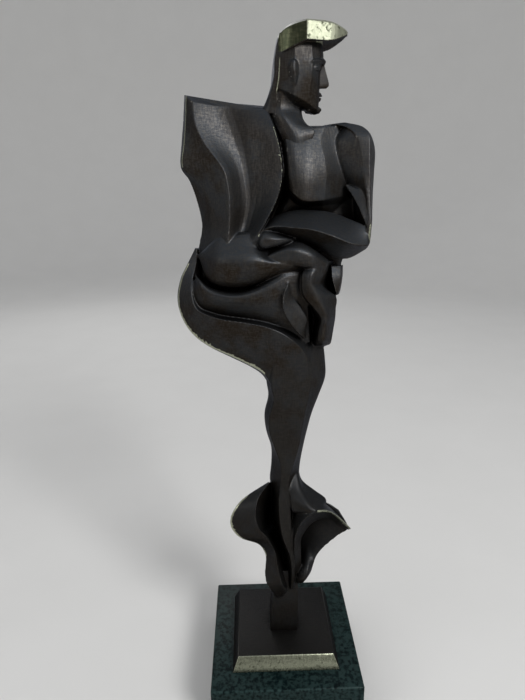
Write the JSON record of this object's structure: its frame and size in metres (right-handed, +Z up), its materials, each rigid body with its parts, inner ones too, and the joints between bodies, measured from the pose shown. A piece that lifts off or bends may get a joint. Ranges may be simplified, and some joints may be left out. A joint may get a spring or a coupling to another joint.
{
  "type": "bronze statuette",
  "caption": "Faceted standing figure in a flat cap, cast in dark bronze, on a low bronze plinth bolted to a square green marble base.",
  "frame": {"origin": "centre of the underside of the cork pad, which the statuette stands on", "axes": "+Z up; the figure's front and the polished front edge of the plinth face -Y; its head looks to +X"},
  "size_m": [0.113, 0.1, 0.427],
  "materials": {
    "figure_bronze": "satin",
    "plinth_bronze": "satin",
    "pin_bronze": "satin",
    "green_marble": "gloss",
    "cork": "matte",
    "steel": "satin"
  },
  "bodies": {
    "root": {"cork_pad": "cork", "marble_base": "green_marble", "plinth_casting": "plinth_bronze", "plinth_dowels": "steel", "leg_casting": "figure_bronze", "body_casting": "figure_bronze", "head_casting": "figure_bronze", "knee_pins": "pin_bronze", "neck_pin": "pin_bronze", "centre_stud": "steel", "flat_washer": "steel", "lock_washer": "steel", "stud_nut": "steel"}
  },
  "joints": []
}
